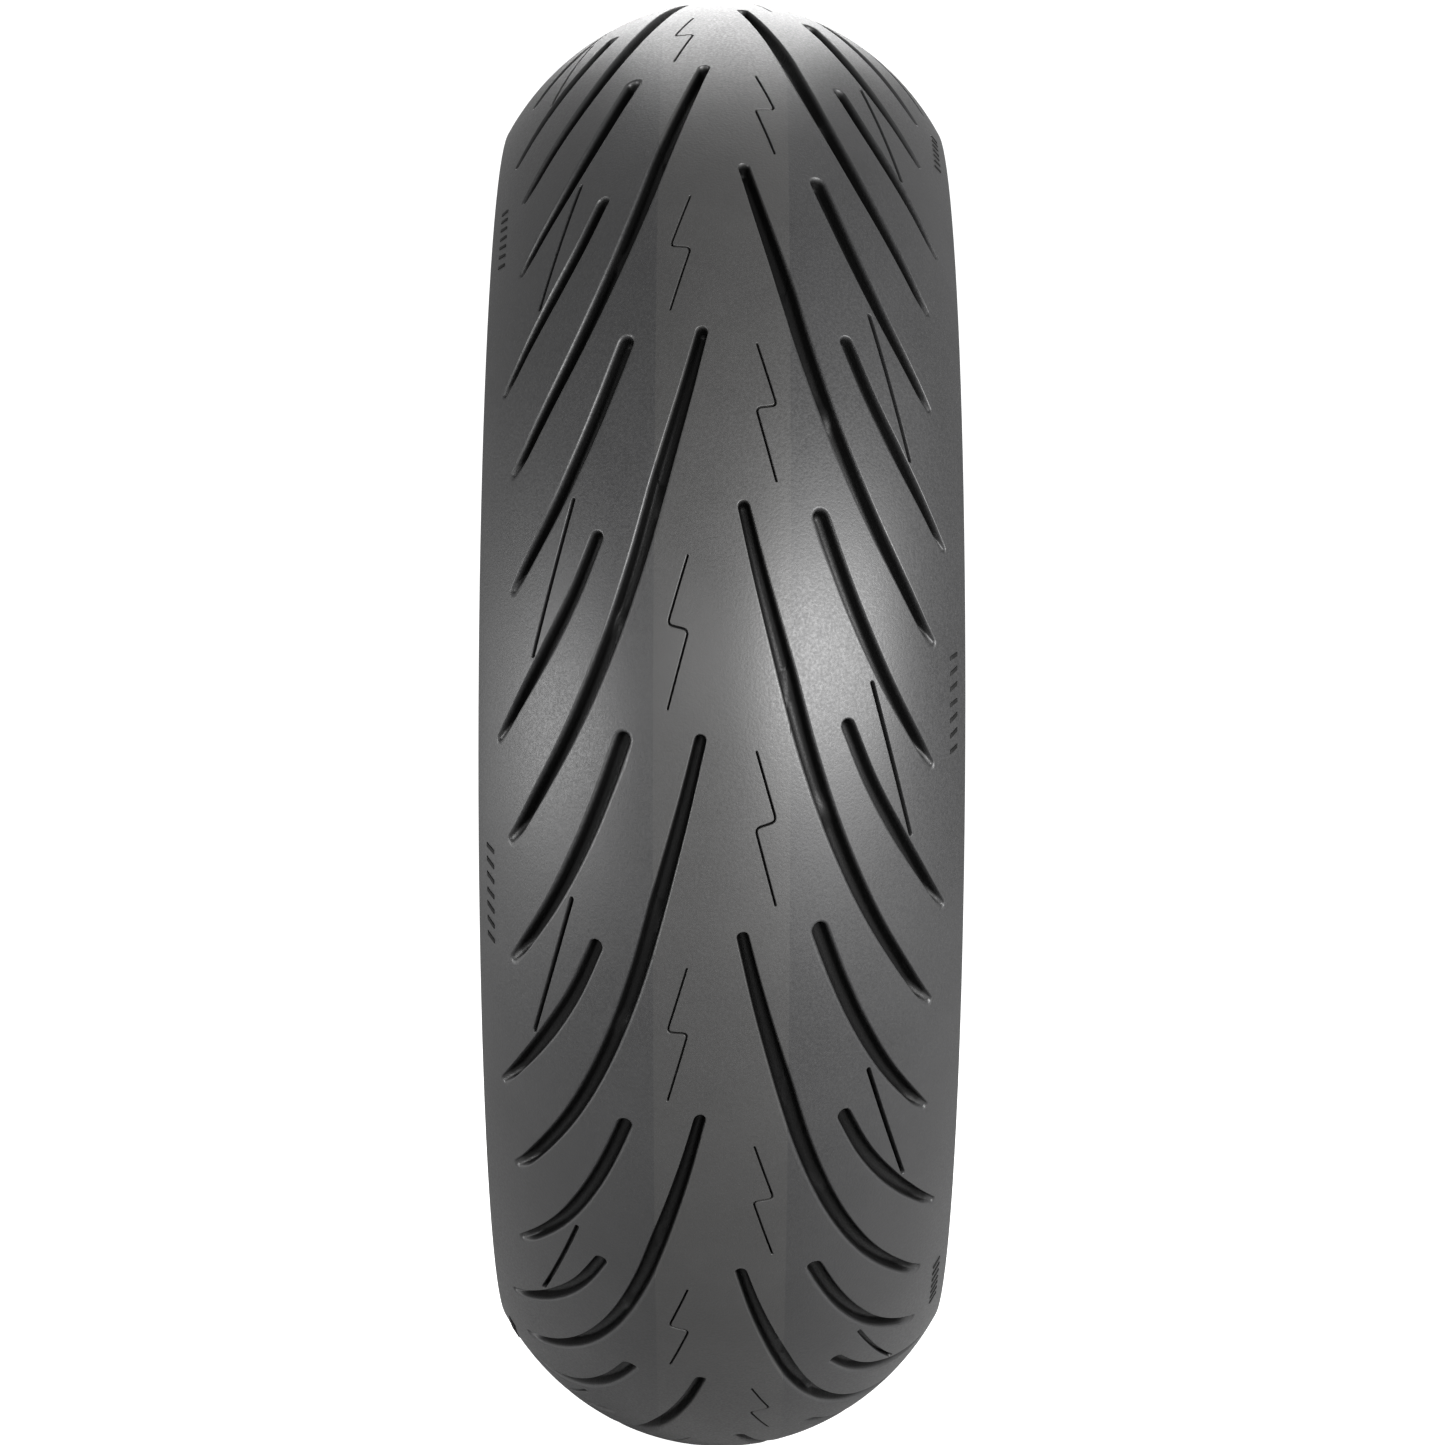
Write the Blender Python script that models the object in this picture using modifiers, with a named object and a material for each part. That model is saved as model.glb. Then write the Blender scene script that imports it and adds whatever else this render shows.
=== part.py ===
"""A 190/55 ZR 17 rear motorcycle tire, built from its separate rubber, cord and steel pieces.

The tire stands upright. Its axle line is the Y axis, the origin is the wheel's centre, +Z is up and
+Y is its right side. Each piece is a closed outline in the (across, radius) plane, turned round Y.
Lengths are in metres and angles in degrees, unless a name says otherwise.
"""

import math

import bmesh
import bpy
import numpy as np
from mathutils import Vector

MM = 0.001

# Driving dimensions
OUTER_RADIUS = 320.4 * MM
CROWN_RADIUS = 102.5 * MM
SHOULDER_RADIUS = 112.1 * MM
CROWN_ANGLE = 24.2
EDGE_ANGLE = 60.8
COMPOUND_ANGLE = 14.5
COMPOUND_GAP_ANGLE = 0.08
FLANGE_HALF_WIDTH = 76.2 * MM

TREAD_DEPTH = 7.5 * MM
BASE_DEPTHS = (7.8 * MM, 9.0 * MM)
BELT_DEPTHS = (9.3 * MM, 10.5 * MM)
CASING_DEPTH = 10.8 * MM
CASING_ANGLE = 56.0
BELT_ANGLE = 37.0
SIDE_ANGLE = 48.9
PLY = 0.9 * MM
GAP = 0.3 * MM
LINER = 1.2 * MM
TURN_STEPS = 28

# Tread pattern. Each side has 13 pitches of slightly different length, so that the tread does not hum.
# A pitch's groove starts and bends are given as (millimetres from the centre line, degrees below the
# pitch's start), on a pitch of PITCH_MEAN degrees.
PITCH_MEAN = 28.5
RIGHT_START = 72.1
RIGHT_PITCHES = (28.5, 28.4, 29.3, 27.7, 28.3, 27.0, 26.8, 27.4, 26.6, 27.2, 27.6, 27.0, 28.2)
LEFT_START = 57.0
LEFT_PITCHES = (28.7, 29.0, 27.0, 28.4, 27.6, 27.0, 26.8, 27.2, 26.8, 27.2, 27.6, 28.2, 28.5)
LONG_GROOVE = ((7.7, 0.0), (22.8, 10.2), (40.5, 21.2), (63.6, 30.2), (91.5, 37.6))
MIDDLE_GROOVE = ((38.0, 0.1), (53.0, 7.2), (71.4, 13.2), (91.5, 18.3))
SHORT_GROOVE = ((48.4, 14.8), (62.4, 20.2), (79.0, 25.2), (98.5, 29.9))
GROOVE_HALF_WIDTH = 3.0 * MM
GROOVE_TIP_HALF_WIDTH = 1.4 * MM
GROOVE_DEPTH = 5.0 * MM
GROOVE_TIP_DEPTH = 1.5 * MM
CUTTER_PROUD = 2.2 * MM

RUBBER = (0.035, 0.035, 0.036)
SOFT_RUBBER = (0.042, 0.042, 0.043)
HARD_RUBBER = (0.022, 0.022, 0.023)
LINER_RUBBER = (0.028, 0.027, 0.027)
CORD = (0.42, 0.31, 0.18)
STEEL = (0.50, 0.44, 0.34)


def crown_point(angle, depth=0.0):
    """(across, radius) of a point on the two-arc crown, a depth below its surface."""
    turn = math.radians(abs(angle))
    middle = math.radians(CROWN_ANGLE)
    inner = min(turn, middle)
    across = CROWN_RADIUS * math.sin(inner)
    radius = OUTER_RADIUS - CROWN_RADIUS * (1 - math.cos(inner))
    if turn > middle:
        across += SHOULDER_RADIUS * (math.sin(turn) - math.sin(middle))
        radius -= SHOULDER_RADIUS * (math.cos(middle) - math.cos(turn))
    across -= depth * math.sin(turn)
    radius -= depth * math.cos(turn)
    return math.copysign(across, angle), radius


def crown_line(angles, depth=0.0):
    return [crown_point(angle, depth) for angle in angles]


def crown_angle(arc):
    """Crown angle in degrees at an arc length from the centre line."""
    middle_arc = CROWN_RADIUS * math.radians(CROWN_ANGLE)
    if arc <= middle_arc:
        return math.degrees(arc / CROWN_RADIUS)
    return CROWN_ANGLE + math.degrees((arc - middle_arc) / SHOULDER_RADIUS)


def both_ways(half):
    """A whole line, from the left bead over the crown to the right bead, from its right half."""
    return [(-across, radius) for across, radius in reversed(half[1:])] + list(half)


def offset_line(line, distance):
    """The line moved sideways by a distance, mitred at its corners; positive is towards the inside."""
    points = [Vector(point) for point in line]
    moved = []
    for index, point in enumerate(points):
        before = points[max(index - 1, 0)]
        after = points[min(index + 1, len(points) - 1)]
        normals = []
        for start, end in ((before, point), (point, after)):
            run = end - start
            if run.length > 0:
                normals.append(Vector((run.y, -run.x)).normalized())
        middle = sum(normals, Vector((0, 0))).normalized()
        moved.append(tuple(point + middle * (distance / middle.dot(normals[0]))))
    return moved


def ribbon(line, outer, inner):
    """Closed outline of a layer between two offsets of a line."""
    return offset_line(line, outer) + offset_line(line, inner)[::-1]


def mirrored(outline):
    return [(-across, radius) for across, radius in reversed(outline)]


def millimetres(*points):
    return [(across * MM, radius * MM) for across, radius in points]


def rubber_material(name, color, roughness, metallic=0.0):
    material = bpy.data.materials.new(name)
    material.use_nodes = True
    shader = material.node_tree.nodes["Principled BSDF"]
    shader.inputs["Base Color"].default_value = (*color, 1.0)
    shader.inputs["Roughness"].default_value = roughness
    shader.inputs["Metallic"].default_value = metallic
    return material


def add_object(name, mesh, collection, parent):
    piece = bpy.data.objects.new(name, mesh)
    collection.objects.link(piece)
    piece.parent = parent
    return piece


def turned(name, outline, color, roughness, parts, axle, metallic=0.0):
    """One ring: a closed outline, given as (across, radius) points, turned round the Y axis."""
    mesh = bpy.data.meshes.new(name)
    corners = [(radius, across, 0.0) for across, radius in reversed(outline)]
    edges = [(index, (index + 1) % len(corners)) for index in range(len(corners))]
    mesh.from_pydata(corners, edges, [])
    mesh.materials.append(rubber_material(name, color, roughness, metallic))
    piece = add_object(name, mesh, parts, axle)
    screw = piece.modifiers.new("Turn", "SCREW")
    screw.axis = "Y"
    screw.angle = math.tau
    screw.steps = TURN_STEPS
    screw.render_steps = TURN_STEPS
    screw.use_merge_vertices = True
    screw.merge_threshold = 0.0001
    screw.use_smooth_shade = True
    return piece


def pitch_angle(fall, start, pitches):
    """Angle round the tire, in degrees up from +X, of a point that is fall pitches below the start."""
    ends = np.concatenate(([0.0], np.cumsum(pitches)))
    whole, part = divmod(fall, len(pitches))
    return start - whole * ends[-1] - float(np.interp(part, np.arange(len(ends)), ends))


def tread_place(arc, angle, side, height=0.0):
    """Point on the tread, an arc length from its centre line and an angle up from +X."""
    across, radius = crown_point(crown_angle(arc), -height)
    turn = math.radians(angle)
    return Vector((radius * math.cos(turn), side * across, radius * math.sin(turn)))


def groove_ribbon(shape, path, pitch, side, start, pitches):
    """Adds one groove's strip, which stands proud of the tread and rises where the groove runs out."""
    places = []
    for arc, fall in path:
        angle = pitch_angle(pitch + fall / PITCH_MEAN, start, pitches)
        places.append((arc * MM, angle))
    rows = []
    for index, (arc, angle) in enumerate(places):
        before = places[max(index - 1, 0)]
        after = places[min(index + 1, len(places) - 1)]
        radius = crown_point(crown_angle(arc))[1]
        run = Vector((after[0] - before[0], radius * math.radians(after[1] - before[1]))).normalized()
        is_tip = index == len(places) - 1
        half_width = GROOVE_TIP_HALF_WIDTH if is_tip else GROOVE_HALF_WIDTH
        height = CUTTER_PROUD + (GROOVE_DEPTH - GROOVE_TIP_DEPTH if is_tip else 0.0)
        row = []
        for hand in (-1, 1):
            edge_arc = arc + hand * half_width * -run.y
            edge_angle = angle + hand * math.degrees(half_width * run.x / radius)
            row.append(shape.verts.new(tread_place(edge_arc, edge_angle, side, height)))
        rows.append(row)
    for low, high in zip(rows, rows[1:]):
        corners = (low[0], high[0], high[1], low[1])
        shape.faces.new(corners if side > 0 else corners[::-1])


def groove_cutter(name, side, start, pitches, cutters):
    """One side's grooves as a single cutter: strips over the tread, thickened down into it."""
    shape = bmesh.new()
    for pitch in range(len(pitches)):
        for path in (LONG_GROOVE, MIDDLE_GROOVE, SHORT_GROOVE):
            groove_ribbon(shape, path, pitch, side, start, pitches)
    mesh = bpy.data.meshes.new(name)
    shape.to_mesh(mesh)
    shape.free()
    cutter = add_object(name, mesh, cutters, None)
    cutter.hide_render = True
    cutter.display_type = "WIRE"
    solidify = cutter.modifiers.new("Depth", "SOLIDIFY")
    solidify.thickness = GROOVE_DEPTH + CUTTER_PROUD
    solidify.offset = -1.0
    return cutter


def cut(piece, cutter):
    boolean = piece.modifiers.new("Cut " + cutter.name, "BOOLEAN")
    boolean.operation = "DIFFERENCE"
    boolean.solver = "EXACT"
    boolean.object = cutter


def casing_line():
    """The outside of the outer ply, from the centre line down to the right bead core."""
    angles = (0.0, COMPOUND_ANGLE, BELT_ANGLE, SIDE_ANGLE, CASING_ANGLE)
    crown = crown_line(angles, CASING_DEPTH)
    return crown + millimetres((81.8, 255.0), (78.6, 245.0), (69.5, 233.0), (65.6, 226.0))


def turned_up_line():
    """The bead side of the inner ply: down inside the core, under it and up outside the filler."""
    down = offset_line(both_ways(casing_line()), PLY + GAP)[len(casing_line()) - 1:]
    return down + millimetres((66.0, 221.4), (73.5, 221.4), (73.5, 230.0), (79.0, 243.0))


def add_tread(parts, cutters, axle):
    edge = COMPOUND_ANGLE - COMPOUND_GAP_ANGLE
    centre = crown_line((-edge, 0.0, edge)) + crown_line((edge, 0.0, -edge), TREAD_DEPTH)
    edge = COMPOUND_ANGLE + COMPOUND_GAP_ANGLE
    shoulder = crown_line((edge, (edge + BELT_ANGLE) / 2, BELT_ANGLE, SIDE_ANGLE, EDGE_ANGLE))
    shoulder += crown_line((EDGE_ANGLE, SIDE_ANGLE, BELT_ANGLE, edge), TREAD_DEPTH)
    middle = turned("tread_centre", centre, RUBBER, 0.62, parts, axle)
    right = turned("tread_shoulder_right", shoulder, SOFT_RUBBER, 0.6, parts, axle)
    left = turned("tread_shoulder_left", mirrored(shoulder), SOFT_RUBBER, 0.6, parts, axle)
    right_cutter = groove_cutter("grooves_right", 1, RIGHT_START, RIGHT_PITCHES, cutters)
    left_cutter = groove_cutter("grooves_left", -1, LEFT_START, LEFT_PITCHES, cutters)
    cut(middle, right_cutter)
    cut(middle, left_cutter)
    cut(right, right_cutter)
    cut(left, left_cutter)


def add_crown_layers(parts, axle):
    half = (0.0, COMPOUND_ANGLE, BELT_ANGLE, SIDE_ANGLE, EDGE_ANGLE)
    angles = [-angle for angle in reversed(half[1:])] + list(half)
    base = crown_line(angles, BASE_DEPTHS[0]) + crown_line(angles[::-1], BASE_DEPTHS[1])
    turned("tread_base", base, HARD_RUBBER, 0.7, parts, axle)
    angles = angles[2:-2]
    belt = crown_line(angles, BELT_DEPTHS[0]) + crown_line(angles[::-1], BELT_DEPTHS[1])
    turned("steel_belt", belt, STEEL, 0.45, parts, axle, metallic=0.6)
    strip_start = BELT_ANGLE + 0.7
    strip = [crown_point(strip_start, BELT_DEPTHS[0] + 0.2 * MM)]
    strip += crown_line((SIDE_ANGLE, EDGE_ANGLE), BELT_DEPTHS[0])
    strip += millimetres((82.2, 255.0))
    strip += crown_line((CASING_ANGLE, SIDE_ANGLE, strip_start), BELT_DEPTHS[1])
    turned("belt_edge_strip_right", strip, HARD_RUBBER, 0.7, parts, axle)
    turned("belt_edge_strip_left", mirrored(strip), HARD_RUBBER, 0.7, parts, axle)


def add_casing(parts, axle):
    casing = both_ways(casing_line())
    turned("carcass_ply_outer", ribbon(casing, 0.0, PLY), CORD, 0.75, parts, axle)
    turned_up = both_ways(turned_up_line())
    turned("carcass_ply_inner", ribbon(turned_up, 0.0, PLY), CORD, 0.75, parts, axle)
    liner_start = 2 * (PLY + GAP)
    liner = ribbon(casing, liner_start, liner_start + LINER)
    turned("inner_liner", liner, LINER_RUBBER, 0.42, parts, axle)


def add_bead_side(parts, axle, side, outline_of):
    flank = FLANGE_HALF_WIDTH / MM
    core = millimetres((66.7, 224.8), (68.35, 227.6), (71.65, 227.6))
    core += millimetres((73.2, 224.8), (71.65, 222.0), (68.35, 222.0))
    filler = millimetres((67.4, 228.1), (77.2, 241.5), (73.1, 230.2), (73.1, 228.1))
    rim_strip = millimetres((74.7, 220.5), (74.7, 229.9), (78.3, 237.7))
    rim_strip += millimetres((81.5, 237.0), (flank, 231.0), (flank, 220.5))
    chafer = millimetres((64.4, 220.2), (flank, 220.2), (flank, 219.3), (75.2, 218.4))
    chafer += millimetres((58.8, 217.0), (57.8, 218.0), (62.1, 227.0), (63.3, 226.6))
    sidewall = millimetres((86.0, 259.0), (93.9, 263.2), (91.8, 254.0), (88.0, 245.5), (82.0, 237.5))
    sidewall += millimetres((78.6, 238.2), (80.6, 243.0), (79.2, 244.9), (82.4, 254.6))
    turned("bead_core_" + side, outline_of(core), STEEL, 0.4, parts, axle, metallic=0.9)
    turned("bead_filler_" + side, outline_of(filler), HARD_RUBBER, 0.7, parts, axle)
    turned("rim_strip_" + side, outline_of(rim_strip), HARD_RUBBER, 0.6, parts, axle)
    turned("toe_chafer_" + side, outline_of(chafer), HARD_RUBBER, 0.75, parts, axle)
    turned("sidewall_" + side, outline_of(sidewall), RUBBER, 0.55, parts, axle)


def main():
    for old in list(bpy.data.objects):
        bpy.data.objects.remove(old, do_unlink=True)
    parts = bpy.data.collections.new("motorcycle_tire")
    cutters = bpy.data.collections.new("cutters")
    for collection in (parts, cutters):
        bpy.context.scene.collection.children.link(collection)
    axle = bpy.data.objects.new("axle_line", None)
    parts.objects.link(axle)
    add_tread(parts, cutters, axle)
    add_crown_layers(parts, axle)
    add_casing(parts, axle)
    add_bead_side(parts, axle, "right", list)
    add_bead_side(parts, axle, "left", mirrored)


main()
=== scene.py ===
"""The looks of a 190/55 ZR 17 rear motorcycle tire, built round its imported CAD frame.

The axle line is Y, the origin is the wheel's centre, +Z is up and +Y is the tire's right side. Lengths
are in millimetres until a mesh is made, which is in metres. Each ring of the tire is a closed outline of
(across, radius) turned round Y. The tread is drawn flat first, one pitch of its pattern at a time, in
rows of (arc from the centre line, fall round the tire in degrees, depth below the crown).
"""

import math

import bmesh
import bpy
import numpy as np
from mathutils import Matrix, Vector
from mathutils.geometry import delaunay_2d_cdt, interpolate_bezier


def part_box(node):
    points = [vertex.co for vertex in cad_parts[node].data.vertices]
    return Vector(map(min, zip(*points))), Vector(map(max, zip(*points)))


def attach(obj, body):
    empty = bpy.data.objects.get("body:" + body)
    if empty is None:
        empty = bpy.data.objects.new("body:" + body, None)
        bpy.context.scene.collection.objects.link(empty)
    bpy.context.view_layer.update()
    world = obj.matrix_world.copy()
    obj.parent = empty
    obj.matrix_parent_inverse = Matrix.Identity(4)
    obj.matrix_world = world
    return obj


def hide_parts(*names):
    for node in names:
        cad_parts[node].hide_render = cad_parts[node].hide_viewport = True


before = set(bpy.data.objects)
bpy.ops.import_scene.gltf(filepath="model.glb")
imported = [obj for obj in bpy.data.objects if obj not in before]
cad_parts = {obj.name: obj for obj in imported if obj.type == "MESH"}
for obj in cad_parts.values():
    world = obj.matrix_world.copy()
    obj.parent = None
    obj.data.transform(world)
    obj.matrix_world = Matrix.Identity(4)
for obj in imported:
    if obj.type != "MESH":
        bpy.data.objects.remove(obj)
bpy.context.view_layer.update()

MM = 0.001
BODY = "root"

# Crown, in millimetres and degrees
OUTER_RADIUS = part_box("tread_centre")[1].z / MM
CROWN_RADIUS = 102.5
SHOULDER_RADIUS = 112.1
CROWN_ANGLE = 24.2
EDGE_ANGLE = 60.8
COMPOUND_ANGLE = 14.5
BELT_ANGLE = 37.0
CASING_ANGLE = 56.0
CROWN_ARC = CROWN_RADIUS * math.radians(CROWN_ANGLE)
EDGE_ARC = round(CROWN_ARC + SHOULDER_RADIUS * math.radians(EDGE_ANGLE - CROWN_ANGLE), 3)
COMPOUND_ARC = round(CROWN_RADIUS * math.radians(COMPOUND_ANGLE), 3)
MIDDLE_ARC = 3.0

TREAD_DEPTH = 7.5
BASE_DEPTHS = (7.8, 9.0)
BELT_DEPTHS = (9.3, 10.5)
CASING_DEPTH = 10.8
PLY = 0.9
GAP = 0.3
LINER = 1.2
FLANGE_HALF_WIDTH = 76.2

# Tread pattern: each side has 13 pitches, whose first starts this many degrees above +X.
# Grooves are given as (arc, degrees below the pitch's start) on a pitch of PITCH degrees.
PITCH = 28.5
PITCHES = {
    1: (28.5, 28.4, 29.3, 27.7, 28.3, 27.0, 26.8, 27.4, 26.6, 27.2, 27.6, 27.0, 28.2),
    -1: (28.7, 29.0, 27.0, 28.4, 27.6, 27.0, 26.8, 27.2, 26.8, 27.2, 27.6, 28.2, 28.5),
}
STARTS = {1: 72.1, -1: 57.0}
SIDES = {1: "right", -1: "left"}
PITCH_COUNT = 13
LAP = PITCH * PITCH_COUNT
LONG_GROOVE = ((7.5, 0.0), (14.5, 5.2), (23.6, 11.2), (33.1, 17.2))
LONG_GROOVE += ((45.3, 23.2), (61.2, 29.1), (82.1, 35.1), (92.6, 37.7))
MIDDLE_GROOVE = ((37.0, 0.2), (47.3, 5.0), (57.9, 9.1), (70.9, 13.2), (91.8, 18.6))
SHORT_GROOVE = ((48.3, 14.8), (59.5, 19.2), (72.6, 23.1), (88.2, 27.1), (100.0, 30.0))
THIN_GROOVE = ((59.9, 12.2), (79.0, 23.3))
SIPE = ((13.0, 16.7), (20.6, 21.4), (12.6, 21.7), (20.4, 27.0))
CELL_EDGE_RISE = 4.7
SCOOP_LENGTH = 9.0
SCOOP_DEPTH = 1.1
END_TRIM = 2.8
FLAT_SCALE = 5.15
STATION_STEP = 2.8
GRID_STEP = 4.6
GRID_CLEARANCE = 1.9
WEAR_BAR_HEIGHT = 1.3
GROOVE_CAP_STEPS = 7
SLIT_CAP_STEPS = 3
BACK_STEPS = 180


# ---------------------------------------------------------------- crown and pitch geometry

def crown(arc, depth=0.0):
    """(across, radius, turn in radians) of tread points, from their arc and depth."""
    arc = np.asarray(arc, float)
    middle = math.radians(CROWN_ANGLE)
    beyond = middle + (arc - CROWN_ARC) / SHOULDER_RADIUS
    turn = np.where(arc <= CROWN_ARC, arc / CROWN_RADIUS, beyond)
    inner, outer = np.minimum(turn, middle), np.maximum(turn, middle)
    across = CROWN_RADIUS * np.sin(inner) + SHOULDER_RADIUS * (np.sin(outer) - math.sin(middle))
    drop = CROWN_RADIUS * (1 - np.cos(inner)) + SHOULDER_RADIUS * (math.cos(middle) - np.cos(outer))
    return across - depth * np.sin(turn), OUTER_RADIUS - drop - depth * np.cos(turn), turn


def arc_at(angle):
    """Arc from the centre line to a crown angle in degrees."""
    if angle <= CROWN_ANGLE:
        return CROWN_RADIUS * math.radians(angle)
    return CROWN_ARC + SHOULDER_RADIUS * math.radians(angle - CROWN_ANGLE)


def fall_angle(arc, fall, side):
    """Angles up from +X, in radians, of points at an arc and a fall in degrees of the mean pitch.

    Every long groove keeps its own slant; only the land between the long grooves stretches with the pitch."""
    ends = np.concatenate(([0.0], np.cumsum(PITCHES[side])))
    marks = np.arange(PITCH_COUNT + 1) * PITCH
    slant = np.interp(arc, *zip(*LONG_GROOVE))
    after = np.asarray(fall) - slant
    laps = np.floor(after / LAP)
    return np.radians(STARTS[side] - laps * 360.0 - np.interp(after - laps * LAP, marks, ends) - slant)


def around(across, radius, angle):
    """Places in metres of points turned round the axle line."""
    return np.stack((radius * np.cos(angle), across, radius * np.sin(angle)), axis=-1) * MM


def tread_points(corners):
    """Places in metres, and outward normals, of (signed arc, fall, depth) rows."""
    rows = np.asarray(corners, float)
    side = np.where(rows[:, 0] < 0, -1, 1)
    across, radius, turn = crown(np.abs(rows[:, 0]), rows[:, 2])
    spots = np.abs(rows[:, 0]), rows[:, 1]
    angle = np.where(side > 0, fall_angle(*spots, 1), fall_angle(*spots, -1))
    upright = np.cos(turn)
    normals = np.stack((upright * np.cos(angle), side * np.sin(turn), upright * np.sin(angle)), axis=1)
    return around(side * across, radius, angle), normals


# ---------------------------------------------------------------- flat paths on the tread

def surface_scale(arcs):
    """Millimetres on the surface for one unit of (arc, fall)."""
    return np.stack((np.ones(len(arcs)), crown(arcs)[1] * math.radians(1)), axis=1)


def path_lengths(path):
    """Millimetres from the path's start to each of its rows."""
    steps = np.diff(path, axis=0) * surface_scale((path[1:, 0] + path[:-1, 0]) / 2)
    return np.concatenate(([0.0], np.cumsum(np.linalg.norm(steps, axis=1))))


def spaced(path, spacing, start=0.0, end_trim=0.0):
    """The path's rows again, spaced evenly between a length from its start and one before its end."""
    lengths = path_lengths(path)
    end = lengths[-1] - end_trim
    marks = np.linspace(start, end, max(2, round((end - start) / spacing) + 1))
    return np.stack([np.interp(marks, lengths, path[:, axis]) for axis in (0, 1)], axis=1)


def smooth_path(points):
    """Closely spaced rows on a smooth curve through the given (arc, fall) points."""
    rows = [Vector((arc, fall * FLAT_SCALE)) for arc, fall in points]
    rows = [2 * rows[0] - rows[1]] + rows + [2 * rows[-1] - rows[-2]]
    dense = []
    for before, start, end, after in zip(rows, rows[1:], rows[2:], rows[3:]):
        leave, arrive = start + (end - before) / 6, end - (after - start) / 6
        dense += interpolate_bezier(start, leave, arrive, end, 24)[:-1]
    return np.array([tuple(row) for row in dense + [rows[-2]]]) / (1, FLAT_SCALE)


def rounded_corners(points, radius):
    """Rows along straight runs whose corners are rounded."""
    rows = [np.array((arc, fall * FLAT_SCALE)) for arc, fall in points]
    dense = [rows[0]]
    for before, corner, after in zip(rows, rows[1:], rows[2:]):
        start = corner + (before - corner) / np.linalg.norm(before - corner) * radius
        end = corner + (after - corner) / np.linalg.norm(after - corner) * radius
        for share in np.linspace(0, 1, 7):
            dense.append((1 - share) ** 2 * start + 2 * share * (1 - share) * corner + share ** 2 * end)
    return np.array(dense + [rows[-1]]) / (1, FLAT_SCALE)


def ramp(value, low, high):
    """0 below low, 1 above high, and a smooth step between."""
    share = np.clip((value - low) / (high - low), 0, 1)
    return share * share * (3 - 2 * share)


# ---------------------------------------------------------------- sunk strips: grooves and slits

def level(path, centre_side, outer_side, depth, cap_steps):
    """One closed level of a sunk strip.

    It runs down its centre side, round its end, up its outer side, and round its tip."""
    scale = surface_scale(path[:, 0])
    run = np.gradient(path, axis=0) * scale
    run /= np.linalg.norm(run, axis=1)[:, None]
    normal = np.stack((-run[:, 1], run[:, 0]), axis=1)
    down = path + normal * centre_side[:, None] / scale
    up = path - normal * outer_side[:, None] / scale
    turns = np.linspace(0, math.pi, cap_steps + 2)[1:-1]
    caps = []
    for row, forward, angles in ((-1, 1, turns), (0, -1, turns[::-1])):
        middle = (centre_side[row] - outer_side[row]) / 2
        reach = (centre_side[row] + outer_side[row]) / 2
        sideways = normal[row] * (middle + reach * np.cos(angles))[:, None]
        ahead = run[row] * (forward * reach * np.sin(angles))[:, None]
        caps.append(path[row] + (sideways + ahead) / scale[row])
    rows = np.concatenate((down, caps[0], up[::-1], caps[1]))
    depths = np.concatenate((depth, np.full(cap_steps, depth[-1]), depth[::-1], np.full(cap_steps, depth[0])))
    return np.round(np.column_stack((rows, depths)), 3)


def strip_faces(levels, station_count, cap_steps):
    """Faces between the levels of a sunk strip, and over its floor."""
    size = len(levels[0])
    faces = []
    for low in range(0, (len(levels) - 1) * size, size):
        for index in range(size):
            after = (index + 1) % size
            faces.append((low + index, low + after, low + size + after, low + size + index))
    floor = (len(levels) - 1) * size
    half_cap = (cap_steps + 1) // 2
    mirror = 2 * station_count + cap_steps - 1
    pairs = [(spot % size, (mirror - spot) % size) for spot in range(-half_cap, station_count + half_cap)]
    for (left, right), (next_left, next_right) in zip(pairs, pairs[1:]):
        corners = dict.fromkeys((floor + left, floor + next_left, floor + next_right, floor + right))
        faces.append(tuple(corners))
    return faces


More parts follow.
